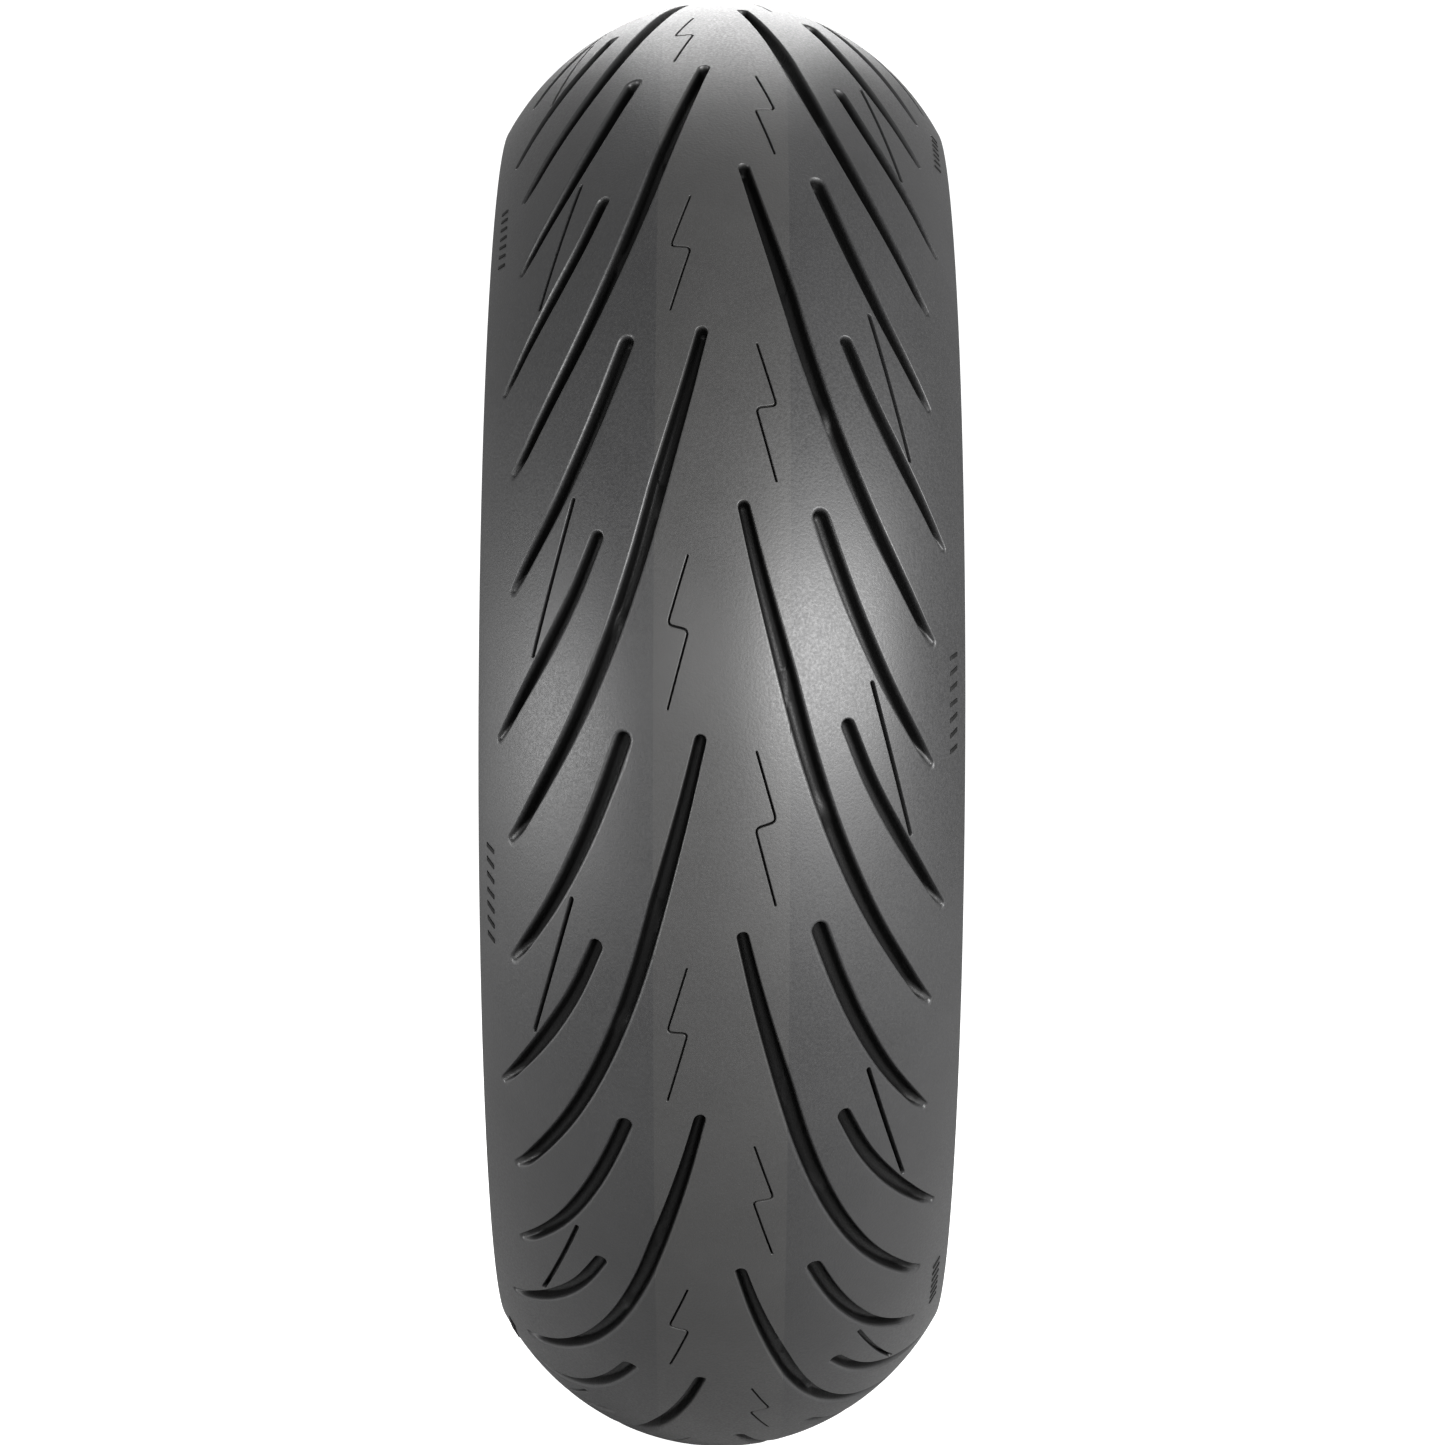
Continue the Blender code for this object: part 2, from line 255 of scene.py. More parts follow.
def groove(points, half_widths, depth, soft_edge, crisp_edge, wear_bar=None):
    """A wide groove: round at its tip, and at its outer end a scoop whose floor rises from the centre side.

    The half widths and the widths of the edges' bevels, soft on the centre side and crisp on the outer,
    are (share of the length, width) pairs. The wear bar is a low bridge on the floor, at a share."""
    path = spaced(smooth_path(points), STATION_STEP, half_widths[0][1], END_TRIM)
    lengths = path_lengths(path)
    share, left = lengths / lengths[-1], lengths[-1] - lengths
    half, soft, crisp = [np.interp(share, *zip(*pairs)) for pairs in (half_widths, soft_edge, crisp_edge)]
    pinch = 1 - ramp(left, -2.0, SCOOP_LENGTH)
    sunk = SCOOP_DEPTH + (depth - SCOOP_DEPTH) * ramp(left, -1.0, 1.4 * SCOOP_LENGTH)
    if wear_bar is not None:
        sunk -= WEAR_BAR_HEIGHT * ramp(-abs(share - wear_bar), -0.03, -0.01)
    lip = np.minimum(0.22 * (soft + crisp), 0.35 * sunk)
    wall = sunk - lip
    levels = []
    # Each level: shares of the two bevels, insets of the two walls in half widths, share of the pinch, depth
    for soft_share, crisp_share, soft_inset, crisp_inset, pinch_share, level_depth in (
        (1.0, 1.0, 0, 0, 0, 0 * lip),
        (0.55, 0.5, 0, 0, 0.25, 0.3 * lip),
        (0.12, 0.1, 0, 0, 0.6, lip),
        (0, 0, 0.08, 0.04, 0.85, lip + 0.22 * wall),
        (0, 0, 0.22, 0.12, 1.0, lip + 0.8 * wall),
        (0, 0, 0.5, 0.4, 1.0, sunk),
    ):
        shrink = 1 - 0.3 * pinch * pinch_share
        inner = half * (shrink - 0.45 * pinch * pinch_share)
        inner += (soft_share * soft - soft_inset * half) * shrink
        outer = half * (1 - 0.1 * pinch * pinch_share)
        outer += crisp_share * crisp - crisp_inset * half * shrink
        levels.append(level(path, inner, outer, level_depth, GROOVE_CAP_STEPS))
    return levels, strip_faces(levels, len(path), GROOVE_CAP_STEPS)


def slit(path, half_width, lip, depth):
    """A thin cut with a small rounded lip."""
    even = np.ones(len(path))
    levels = []
    for width, level_depth in (
        (half_width + lip, 0.0),
        (half_width + 0.3 * lip, 0.35 * lip),
        (half_width, 1.6 * lip),
        (half_width * 0.75, depth),
    ):
        levels.append(level(path, even * width, even * width, even * level_depth, SLIT_CAP_STEPS))
    return levels, strip_faces(levels, len(path), SLIT_CAP_STEPS)


def pitch_strips():
    """The sunk strips of one cell: its long groove and sipe, and the next pitch's shorter grooves."""
    middle, short, thin = [tuple((arc, fall + PITCH) for arc, fall in points)
                           for points in (MIDDLE_GROOVE, SHORT_GROOVE, THIN_GROOVE)]
    long_halves = ((0, 2.4), (0.06, 2.6), (0.15, 3.0), (0.3, 3.55))
    long_halves += ((0.45, 3.4), (0.7, 3.2), (0.9, 2.8), (1, 2.3))
    long_soft = ((0, 0.4), (0.15, 0.5), (0.3, 1.1), (0.45, 1.7), (0.7, 1.4), (0.9, 1.0), (1, 0.8))
    long_crisp = ((0, 0.35), (0.2, 0.5), (0.4, 0.8), (0.75, 0.7), (1, 0.4))
    middle_halves = ((0, 3.1), (0.3, 3.2), (0.5, 3.1), (0.7, 2.8), (0.87, 2.5), (1, 2.2))
    middle_soft = ((0, 1.6), (0.08, 2.0), (0.2, 1.4), (0.7, 1.3), (1, 0.8))
    short_halves = ((0, 2.8), (0.5, 3.05), (0.7, 2.75), (0.85, 2.3), (1, 2.0))
    return [
        groove(LONG_GROOVE, long_halves, 6.6, long_soft, long_crisp, wear_bar=0.55),
        groove(middle, middle_halves, 6.2, middle_soft, ((0, 0.9), (0.45, 0.8), (1, 0.4))),
        groove(short, short_halves, 5.8, ((0, 1.0), (0.5, 1.3), (1, 0.6)), ((0, 0.5), (1, 0.35))),
        slit(spaced(np.array(thin), 4.0), 0.92, 0.3, 3.6),
        slit(spaced(rounded_corners(SIPE, 2.0), 0.9), 0.42, 0.25, 3.4),
    ]


# ---------------------------------------------------------------- skin of one pitch

def cell_outline():
    """Closed outline of one pitch's cell: a line above its long groove, the tread's edge, the next pitch's
    line, and the middle."""
    path = smooth_path(LONG_GROOVE)
    first, last = path[0], path[-1]
    near, far = np.linspace(MIDDLE_ARC, COMPOUND_ARC, 7), np.linspace(COMPOUND_ARC, EDGE_ARC, 22)
    arcs = np.concatenate((near, far[1:]))
    falls = np.interp(arcs, path[:, 0], path[:, 1])
    falls = np.where(arcs < first[0], first[1] - (first[0] - arcs) / 1.5, falls)
    falls = np.where(arcs > last[0], last[1] + (arcs - last[0]) / 4.5, falls)
    upper = np.round(np.column_stack((arcs, falls - CELL_EDGE_RISE)), 3)
    steps = np.arange(1, 8)[:, None] * (0, PITCH / 8)
    sides = upper, upper[-1] + steps, upper[::-1] + (0, PITCH), (upper[0] + steps)[::-1]
    return np.round(np.concatenate(sides), 3)


def is_inside(points, outline):
    """Whether flat points lie inside a closed outline."""
    x, y = points[:, 0], points[:, 1]
    inside = np.zeros(len(points), bool)
    for (start_x, start_y), (end_x, end_y) in zip(outline, np.roll(outline, -1, axis=0)):
        if start_y != end_y:
            crossing = (end_x - start_x) * (y - start_y) / (end_y - start_y) + start_x
            inside ^= ((start_y > y) != (end_y > y)) & (x < crossing)
    return inside


def distance_to(points, outline):
    """Distance of flat points to the nearest edge of a closed outline."""
    nearest = np.full(len(points), np.inf)
    for start, end in zip(outline, np.roll(outline, -1, axis=0)):
        run = end - start
        share = np.clip(((points - start) @ run) / (run @ run), 0, 1)
        nearest = np.minimum(nearest, np.linalg.norm(points - start - share[:, None] * run, axis=1))
    return nearest


def grid_points(outlines):
    """Points of a triangular grid over the first outline, out of the others and clear of them all."""
    low, high = outlines[0].min(0), outlines[0].max(0)
    rows = []
    for row, y in enumerate(np.arange(low[1], high[1], GRID_STEP * math.sqrt(0.75))):
        shift = GRID_STEP / 2 * (row % 2)
        rows += [(x, y) for x in np.arange(low[0] + shift, high[0], GRID_STEP)]
    points = np.array(rows)
    keep = is_inside(points, outlines[0])
    for outline in outlines[1:]:
        keep &= ~is_inside(points, outline)
    for outline in outlines:
        keep &= distance_to(points, outline) > GRID_CLEARANCE
    return points[keep]


def pitch_cell():
    """One pitch of the tread's skin, with its grooves."""
    flat = np.array((1, FLAT_SCALE))
    strips = pitch_strips()
    outlines = [cell_outline()] + [levels[0][:, :2] for levels, _ in strips]
    loose = np.round(grid_points([outline * flat for outline in outlines]) / flat, 3)
    given = np.concatenate(outlines + [loose])
    ends = np.cumsum([0] + [len(outline) for outline in outlines])
    loops = [list(range(ends[0], ends[1]))]
    loops += [list(range(start, end))[::-1] for start, end in zip(ends[1:], ends[2:])]
    result = delaunay_2d_cdt([Vector(row) for row in given * flat], [], loops, 1, 1e-5)
    places, faces, sources, owners = result[0], result[2], result[3], result[5]
    rows = []
    for place, source in zip(places, sources):
        arc, fall = given[source[0]] if source else (place.x, place.y / FLAT_SCALE)
        rows.append((arc, fall, 0.0))
    cell = Patch()
    cell.add(rows, [face for face, owner in zip(faces, owners) if set(owner) == {0}])
    for levels, faces in strips:
        cell.add(np.concatenate(levels), faces)
    return cell


class Patch:
    """Faces gathered with shared corners; a corner is (signed arc, fall, depth)."""

    def __init__(self):
        self.numbers = {}
        self.corners = []
        self.faces = []

    def corner(self, arc, fall, depth):
        key = (round(float(arc), 3), round(float(fall) % LAP, 3) % LAP, round(float(depth), 3))
        if key not in self.numbers:
            self.numbers[key] = len(self.corners)
            self.corners.append((float(arc), float(fall), float(depth)))
        return self.numbers[key]

    def add(self, rows, faces, side=1, lift=0.0):
        """Adds faces over (arc, fall, depth) rows, on a side and lifted by a fall."""
        numbers = [self.corner(side * arc, fall + lift, depth) for arc, fall, depth in rows]
        for face in faces:
            corners = tuple(dict.fromkeys(numbers[corner] for corner in face))
            if len(corners) > 2:
                self.faces.append(corners)

    def split(self, arc):
        """Rows and faces of the part nearer than an arc, then of the part beyond it."""
        parts = []
        for nearer in (True, False):
            shape = bmesh.new()
            spots = [shape.verts.new(corner) for corner in self.corners]
            for face in self.faces:
                shape.faces.new([spots[corner] for corner in face])
            bmesh.ops.bisect_plane(
                shape, geom=shape.verts[:] + shape.edges[:] + shape.faces[:], dist=1e-4,
                plane_co=(arc, 0, 0), plane_no=(1, 0, 0), clear_outer=nearer, clear_inner=not nearer)
            shape.verts.index_update()
            rows = [tuple(round(value, 3) for value in spot.co) for spot in shape.verts]
            parts.append((rows, [tuple(spot.index for spot in face.verts) for face in shape.faces]))
            shape.free()
        return parts

    def chain(self, arc):
        """The corners at an arc and their angles, in order round the tire."""
        found = [number for number, corner in enumerate(self.corners) if abs(corner[0] - arc) < 0.002]
        falls = np.array([self.corners[number][1] for number in found])
        return in_order(found, arc, falls)

    def wall(self, arc):
        """A wall from the corners at an arc down to the tread's back; returns its foot as a chain."""
        top, angles = self.chain(arc)
        foot = [self.corner(*self.corners[number][:2], TREAD_DEPTH) for number in top]
        for index in range(len(top)):
            after = (index + 1) % len(top)
            self.faces.append((top[index], top[after], foot[after], foot[index]))
        return foot, angles

    def zip(self, first, second):
        """Triangles between two closed chains."""
        (left, left_angles), (right, right_angles) = first, second
        left_angles = np.append(left_angles, left_angles[0] + math.tau)
        right_angles = np.append(right_angles, right_angles[0] + math.tau)
        i = j = 0
        while i < len(left) or j < len(right):
            here = left[i % len(left)], right[j % len(right)]
            if j == len(right) or (i < len(left) and left_angles[i + 1] <= right_angles[j + 1]):
                i += 1
                self.faces.append((here[0], left[i % len(left)], here[1]))
            else:
                j += 1
                self.faces.append((here[0], right[j % len(right)], here[1]))

    def back(self, arcs, first, last):
        """The hidden inner face, over even rows at some arcs, between the feet of the two walls."""
        falls = np.arange(BACK_STEPS) * LAP / BACK_STEPS
        rows = [first]
        for arc in arcs:
            numbers = [self.corner(arc, fall, TREAD_DEPTH) for fall in falls]
            rows.append(in_order(numbers, arc, falls))
        rows.append(last)
        for low, high in zip(rows, rows[1:]):
            self.zip(low, high)


def in_order(numbers, arc, falls):
    """Corner numbers at a signed arc and their angles, sorted round the tire."""
    angles = np.mod(-fall_angle(abs(arc), falls, 1 if arc > 0 else -1), math.tau)
    order = np.argsort(angles, kind="stable")
    return [numbers[spot] for spot in order], angles[order]


# ---------------------------------------------------------------- pieces

def finished(name, mesh, material, node=None):
    """Puts a piece in the scene on the tire's body, in place of its CAD node."""
    piece = bpy.data.objects.new(name, mesh)
    bpy.context.scene.collection.objects.link(piece)
    mesh.materials.append(material)
    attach(piece, BODY)
    if node:
        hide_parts(node)
    return piece


def closed_mesh(name, places, faces):
    """A smooth-shaded mesh whose faces all point outwards."""
    mesh = bpy.data.meshes.new(name)
    mesh.from_pydata(places.tolist(), [], faces)
    shape = bmesh.new()
    shape.from_mesh(mesh)
    bmesh.ops.recalc_face_normals(shape, faces=shape.faces[:])
    shape.to_mesh(mesh)
    shape.free()
    mesh.shade_smooth()
    return mesh


def tread_piece(node, patch, top_count, material):
    """A tread piece from its closed patch. The crown's own normals keep its surface smooth, and the corners'
    depths are kept for the material, which paints shade into the grooves with them."""
    places, normals = tread_points(patch.corners)
    mesh = closed_mesh(node, places, patch.faces)
    depths = np.array([corner[2] for corner in patch.corners], np.float32)
    mesh.attributes.new("sunk", "FLOAT", "POINT").data.foreach_set("value", depths)
    mesh.set_sharp_from_angle(angle=math.radians(80))
    spots = np.zeros(len(mesh.loops), np.int32)
    sizes = np.zeros(len(mesh.polygons), np.int32)
    mesh.loops.foreach_get("vertex_index", spots)
    mesh.polygons.foreach_get("loop_total", sizes)
    on_crown = (np.repeat(np.arange(len(sizes)), sizes) < top_count) & (depths[spots] == 0)
    mesh.normals_split_custom_set(np.where(on_crown[:, None], normals[spots], 0.0).tolist())
    return finished(node + "_moulded", mesh, material, node)


def build_tread(centre_material, shoulder_material):
    near, far = pitch_cell().split(COMPOUND_ARC)
    centre = Patch()
    for side in SIDES:
        for pitch in range(PITCH_COUNT):
            centre.add(*near, side=side, lift=pitch * PITCH)
    centre.zip(centre.chain(-MIDDLE_ARC), centre.chain(MIDDLE_ARC))
    top_count = len(centre.faces)
    centre.back((-18, -9, 9, 18), centre.wall(-COMPOUND_ARC), centre.wall(COMPOUND_ARC))
    tread_piece("tread_centre", centre, top_count, centre_material)
    for side, hand in SIDES.items():
        shoulder = Patch()
        for pitch in range(PITCH_COUNT):
            shoulder.add(*far, side=side, lift=pitch * PITCH)
        top_count = len(shoulder.faces)
        arcs = side * np.linspace(COMPOUND_ARC, EDGE_ARC, 12)[1:-1]
        shoulder.back(arcs, shoulder.wall(side * COMPOUND_ARC), shoulder.wall(side * EDGE_ARC))
        tread_piece("tread_shoulder_" + hand, shoulder, top_count, shoulder_material)


def turned(name, outline, steps, material, node=None, relief=None, sharp=40):
    """A ring: a closed outline of (across, radius) turned round the axle line.

    relief gives how far each point stands out, from the outline's rows and the angles round the tire."""
    outline = np.array(outline, float)
    angles = np.arange(steps) * math.tau / steps
    across, radius = np.repeat(outline[:, None], steps, axis=1).transpose(2, 0, 1)
    if relief is not None:
        run = np.roll(outline, -1, axis=0) - np.roll(outline, 1, axis=0)
        normal = np.stack((-run[:, 1], run[:, 0]), axis=1) / np.linalg.norm(run, axis=1)[:, None]
        height = relief(outline, angles)
        across = across + normal[:, :1] * height
        radius = radius + normal[:, 1:] * height
    places = around(across, radius, angles[None]).reshape(-1, 3)
    first = np.arange(len(outline))[:, None] * steps
    last = np.roll(first, -1, axis=0)
    here = np.arange(steps)[None]
    after = (here + 1) % steps
    faces = np.stack((first + here, first + after, last + after, last + here), axis=-1).reshape(-1, 4)
    mesh = closed_mesh(name, places, faces.tolist())
    mesh.set_sharp_from_angle(angle=math.radians(sharp))
    return finished(name, mesh, material, node)


def crown_row(start, end, depth, step=2.0):
    """Crown points between two signed angles in degrees, at a depth."""
    count = max(2, round(abs(end - start) / step) + 1)
    rows = []
    for angle in np.linspace(start, end, count):
        across, radius, _ = crown(arc_at(abs(angle)), depth)
        rows.append((math.copysign(float(across), angle), float(radius)))
    return rows


def smooth_line(points, steps=6):
    """Points on a smooth curve through the given (across, radius) points."""
    rows = [Vector(point) for point in points]
    rows = [2 * rows[0] - rows[1]] + rows + [2 * rows[-1] - rows[-2]]
    dense = []
    for before, start, end, after in zip(rows, rows[1:], rows[2:], rows[3:]):
        leave, arrive = start + (end - before) / 6, end - (after - start) / 6
        dense += [tuple(row) for row in interpolate_bezier(start, leave, arrive, end, steps + 1)[:-1]]
    return dense + [tuple(rows[-2])]


def offset_line(line, distance):
    """The line moved sideways; positive is towards the tire's inside."""
    rows = np.array(line, float)
    run = np.gradient(rows, axis=0)
    normal = np.stack((run[:, 1], -run[:, 0]), axis=1) / np.linalg.norm(run, axis=1)[:, None]
    return [tuple(row) for row in rows + normal * distance]


def both_ways(half):
    """A whole line, from the left bead over the crown to the right bead, from its right half."""
    return [(-across, radius) for across, radius in reversed(half[1:])] + list(half)


def ribbon(line, outer, inner):
    """Closed outline of a layer between two offsets of a line."""
    return offset_line(line, outer) + offset_line(line, inner)[::-1]


def mirrored(outline):
    return [(-across, radius) for across, radius in reversed(outline)]


# ---------------------------------------------------------------- materials

class Finish:
    """A procedural material: a Principled shader and short calls for the nodes that feed it."""

    def __init__(self, name, metallic=0.0, specular=0.5):
        self.material = bpy.data.materials.new(name)
        self.material.use_nodes = True
        self.tree = self.material.node_tree
        self.shader = self.tree.nodes["Principled BSDF"]
        self.shader.inputs["Metallic"].default_value = metallic
        self.shader.inputs["Specular IOR Level"].default_value = specular
        self.places = self.tree.nodes.new("ShaderNodeTexCoord").outputs["Object"]
        self.height = None

    def node(self, kind, inputs, **settings):
        made = self.tree.nodes.new(kind)
        for name, value in settings.items():
            setattr(made, name, value)
        for socket, value in inputs.items():
            if isinstance(value, bpy.types.NodeSocket):
                self.tree.links.new(value, made.inputs[socket])
            else:
                made.inputs[socket].default_value = value
        return made

    def noise(self, size, detail=3.0, roughness=0.55, stretch=(1, 1, 1)):
        """Noise whose features are about size metres across."""
        places = self.places
        if stretch != (1, 1, 1):
            places = self.node("ShaderNodeMapping", {"Vector": places, "Scale": stretch}).outputs[0]
        inputs = {"Vector": places, "Scale": 1 / size, "Detail": detail, "Roughness": roughness}
        return self.node("ShaderNodeTexNoise", inputs).outputs[0]

    def maths(self, operation, first, second=0.0):
        return self.node("ShaderNodeMath", {0: first, 1: second}, operation=operation).outputs[0]

    def spread(self, value, low, high, new_low, new_high):
        """The value mapped from one range to another, and kept in it."""
        inputs = {0: value, 1: low, 2: high, 3: new_low, 4: new_high}
        return self.node("ShaderNodeMapRange", inputs).outputs[0]

    def blend(self, share, first, second):
        """A colour between two, which are tuples or sockets."""
        first, second = [color if isinstance(color, bpy.types.NodeSocket) else (*color, 1.0)
                         for color in (first, second)]
        return self.node("ShaderNodeMix", {0: share, 6: first, 7: second}, data_type="RGBA").outputs[2]

    def angle(self):
        """Angle round the axle line, in turns, and the place's three parts."""
        parts = self.node("ShaderNodeSeparateXYZ", {0: self.places}).outputs
        return self.maths("DIVIDE", self.maths("ARCTAN2", parts[2], parts[0]), math.tau), parts

    def bump(self, height, distance, strength=1.0):
        """Adds relief of a height in metres, over what is there."""
        inputs = {"Height": height, "Distance": distance, "Strength": strength}
        if self.height is not None:
            inputs["Normal"] = self.height
        self.height = self.node("ShaderNodeBump", inputs).outputs[0]

    def done(self, color, roughness):
        for socket, value in (("Base Color", color), ("Roughness", roughness), ("Normal", self.height)):
            if isinstance(value, bpy.types.NodeSocket):
                self.tree.links.new(value, self.shader.inputs[socket])
            elif value is not None:
                self.shader.inputs[socket].default_value = value
        return self.material


def tread_rubber(name, bloom, shade):
    """Tread rubber: a pale bloom on the surface the tread runs on, and painted shade in the grooves, whose
    colour darkens with depth to near black, with a weaker specular.
    """
    finish = Finish(name)
    sunk = finish.node("ShaderNodeAttribute", {}, attribute_name="sunk").outputs["Fac"]
    depth = finish.spread(sunk, 0.7, 2.6, 0.0, 1.0)
    mottle = finish.noise(0.045, detail=4.0, roughness=0.6)
    grain = finish.noise(0.0011, detail=2.0)
    tone = finish.blend(finish.spread(mottle, 0.3, 0.7, 0.0, 1.0), bloom, shade)
    speck = finish.blend(finish.spread(grain, 0.35, 0.75, 0.0, 0.35), tone, (0.032, 0.032, 0.032))
    # Painted shade: from 0.7 mm deep the colour goes towards near black, fully at 2.6 mm, standing in for the
    # shade inside the grooves; the specular level drops there too.
    color = finish.blend(depth, speck, (0.003, 0.003, 0.003))
    specular = finish.spread(depth, 0.0, 1.0, 0.5, 0.2)
    finish.tree.links.new(specular, finish.shader.inputs["Specular IOR Level"])
    roughness = finish.spread(grain, 0.3, 0.7, 0.38, 0.52)
    finish.bump(grain, 0.0001, 0.7)
    finish.bump(finish.noise(0.009, detail=2.0), 0.00008, 0.5)
    return finish.done(color, roughness)


def moulded_rubber(name, dark, pale, low=0.42, high=0.55, specular=0.5):
    """Rubber as it leaves the mould, with faint release marks and grain."""
    finish = Finish(name, specular=specular)
    mottle = finish.noise(0.03, detail=4.0, roughness=0.6)
    grain = finish.noise(0.0008, detail=2.0)
    share = finish.spread(mottle, 0.3, 0.7, 0.0, 1.0)
    finish.bump(grain, 0.00005, 0.5)
    return finish.done(finish.blend(share, dark, pale), finish.spread(grain, 0.3, 0.7, low, high))


def woven_rubber(name):
    """Rubber-coated chafer cloth: crossed threads round the tire and across it."""
    finish = Finish(name)
    turn, parts = finish.angle()
    thread_count, thread_pitch = 1400, 0.001
    round_threads = finish.maths("SINE", finish.maths("MULTIPLY", turn, thread_count * math.tau))
    spoke = finish.node("ShaderNodeCombineXYZ", {0: parts[0], 2: parts[2]}).outputs[0]
    reach = finish.node("ShaderNodeVectorMath", {0: spoke}, operation="LENGTH").outputs["Value"]
    path = finish.maths("ADD", reach, parts[1])
    cross_threads = finish.maths("SINE", finish.maths("MULTIPLY", path, math.tau / thread_pitch))
    weave = finish.maths("MAXIMUM", round_threads, cross_threads)
    height = finish.spread(weave, -1.0, 1.0, 0.0, 1.0)
    finish.bump(height, 0.0002, 0.9)
    color = finish.blend(height, (0.012, 0.012, 0.012), (0.05, 0.047, 0.043))
    return finish.done(color, finish.spread(finish.noise(0.01), 0.3, 0.7, 0.65, 0.8))


def corded(name, rubber, cord, cord_count=None, cord_pitch=None, metallic=0.0):
    """Cords under a thin coat of rubber.

    They run from bead to bead, cord_count of them, or round the tire, one every cord_pitch metres."""
    finish = Finish(name, metallic=metallic)
    turn, parts = finish.angle()
    if cord_count:
        wave = finish.maths("MULTIPLY", turn, cord_count * math.tau)
    else:
        wave = finish.maths("MULTIPLY", parts[1], math.tau / cord_pitch)
    height = finish.spread(finish.maths("SINE", wave), -0.6, 0.9, 0.0, 1.0)
    worn = finish.maths("MULTIPLY", height, finish.spread(finish.noise(0.004), 0.3, 0.6, 0.5, 1.0))
    finish.bump(height, 0.0003, 0.8)
    return finish.done(finish.blend(worn, rubber, cord), finish.spread(height, 0.0, 1.0, 0.75, 0.5))


def wire(name):
    """Bronze-coated bead wire, with fine draw marks along it and dull patches."""
    finish = Finish(name, metallic=0.9)
    dull = finish.spread(finish.noise(0.006, detail=4.0), 0.35, 0.65, 0.0, 1.0)
    finish.bump(finish.noise(0.0004, stretch=(1, 4, 1)), 0.00002, 0.5)
    return finish.done(finish.blend(dull, (0.62, 0.50, 0.34), (0.40, 0.33, 0.24)),
                       finish.spread(dull, 0.0, 1.0, 0.28, 0.45))


# ---------------------------------------------------------------- rings

RING_STEPS = 180
SIDEWALL_STEPS = 1440
LINER_STEPS = 864
LINER_RIDGES = 144
LINER_SLANT = 0.2

# Bead and sidewall outlines, on the right side, as (across, radius)
SIDEWALL_FACE = ((93.9, 263.2), (93.3, 258.6), (91.8, 254.0), (88.3, 245.9), (82.0, 237.5))
SIDEWALL_BACK = ((78.6, 238.2), (80.6, 243.0), (79.2, 244.9), (82.4, 254.6), (86.0, 259.0))
RIM_STRIP_FACE = ((81.5, 237.0), (77.9, 233.9), (FLANGE_HALF_WIDTH, 230.4), (FLANGE_HALF_WIDTH, 220.5))
RIM_STRIP_BACK = ((74.7, 220.5), (74.7, 229.9), (78.3, 237.7))
CHAFER_FACE = ((FLANGE_HALF_WIDTH, 220.2), (FLANGE_HALF_WIDTH, 219.3))
CHAFER_FACE += ((75.7, 218.7), (75.0, 218.4), (58.8, 217.0))
CHAFER_BACK = ((58.1, 217.2), (57.8, 218.0), (58.3, 219.6), (62.1, 227.0), (63.3, 226.6), (64.4, 220.2))
FILLER = ((67.4, 228.1), (77.2, 241.5), (73.1, 230.2), (73.1, 228.1))
CORE_MIDDLE = (69.95, 224.8)
CORE_ROWS = (3, 4, 5, 4, 3)
WIRE_PITCH = 1.27
WIRE_RADIUS = 0.61
WIRE_CORNERS = 8
CASING_FOOT = ((81.8, 255.0), (78.6, 245.0), (69.5, 233.0), (65.6, 226.0))


def band(value, low, high, edge=0.25):
    """1 between low and high, 0 outside, with sloping edges."""
    return np.clip((value - low) / edge + 0.5, 0, 1) * np.clip((high - value) / edge + 0.5, 0, 1)


def sidewall_relief(outline, angles):
    """Mould lines, fine ribs, and a band of short radial bars on the sidewall's face."""
    radius = outline[:, 1][:, None]
    on_face = outline[:, 0][:, None] > np.interp(radius, (237, 245, 255, 263), (80.5, 84.5, 87.5, 90.5))
    height = 0.45 * band(radius, 258.9, 259.5) + 0.3 * band(radius, 257.4, 257.8)
    height = height - 0.3 * band(radius, 247.2, 255.2) + 0.55 * band(radius, 246.3, 247.0)
    height = height + 0.5 * band(radius, 241.6, 242.2) + 0.7 * band(radius, 238.9, 239.7)
    bars = np.clip(1.4 * np.sin(angles * 360)[None] + 0.4, 0, 1)
    sector = band(np.mod(np.degrees(angles), 120)[None], 18, 102, 1.0)
    height = height + 0.3 * bars * sector * band(radius, 248.0, 254.4)
    return height * on_face


def liner_relief(outline, angles):
    """Low slanted ridges that the curing bladder leaves on the liner's inner face."""
    line = np.cumsum(np.linalg.norm(np.diff(outline, axis=0, prepend=outline[:1]), axis=1))[:, None]
    slant = line / line.max() * LINER_SLANT
    wave = np.cos((angles[None] + slant) * LINER_RIDGES)
    inside = np.arange(len(outline))[:, None] >= len(outline) // 2
    return 0.3 * np.clip(wave, 0, 1) ** 3 * inside


def fine_ribs(outline, angles):
    """Two low ribs round the rim strip."""
    radius = outline[:, 1][:, None]
    on_face = outline[:, 0][:, None] > FLANGE_HALF_WIDTH - 0.1
    return 0.25 * (band(radius, 224.2, 224.8) + band(radius, 227.4, 228.0)) * on_face


def dense_line(points, step):
    """Straight runs between the points, with a point about every step."""
    rows = []
    for start, end in zip(points, points[1:]):
        count = max(1, round(math.dist(start, end) / step))
        rows += [tuple(np.array(start) + (np.array(end) - start) * part / count) for part in range(count)]
    return rows + [points[-1]]


def casing_line():
    """The outside of the outer ply, from the centre line down to the right bead core."""
    return crown_row(0.0, CASING_ANGLE, CASING_DEPTH, 4.0) + smooth_line(CASING_FOOT, 3)


